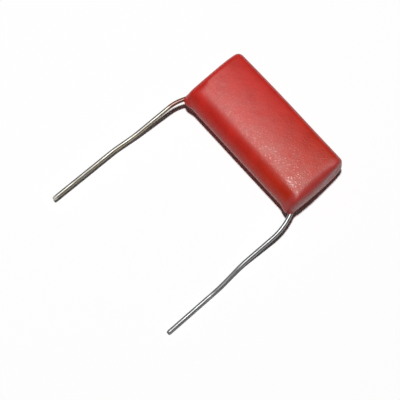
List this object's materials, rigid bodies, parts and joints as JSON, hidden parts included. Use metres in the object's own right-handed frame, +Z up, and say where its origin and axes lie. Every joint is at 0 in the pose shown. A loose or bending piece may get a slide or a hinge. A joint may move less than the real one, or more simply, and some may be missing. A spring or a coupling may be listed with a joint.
{
  "type": "film capacitor",
  "caption": "Flat oblong film capacitor in a dipped epoxy coat, with radial wire leads formed outwards where they leave the ends of one long side.",
  "frame": {"origin": "middle of the flat broad face that the part lies on", "axes": "+X along the winding, from the left lead to the right one; +Y away from the leads; +Z up, through the coat's thickness"},
  "size_m": [0.0261, 0.0348, 0.006],
  "materials": {
    "red_epoxy": "satin, slightly uneven from dipping",
    "metallised_film": "silvery wound film",
    "sprayed_metal": "matt, grainy sprayed zinc",
    "tinned_wire": "bright tin with fine draw marks"
  },
  "bodies": {
    "root": {"epoxy_coat": "red_epoxy", "film_winding": "metallised_film", "end_spray_left": "sprayed_metal", "end_spray_right": "sprayed_metal", "lead_left": "tinned_wire", "lead_right": "tinned_wire"}
  },
  "joints": []
}
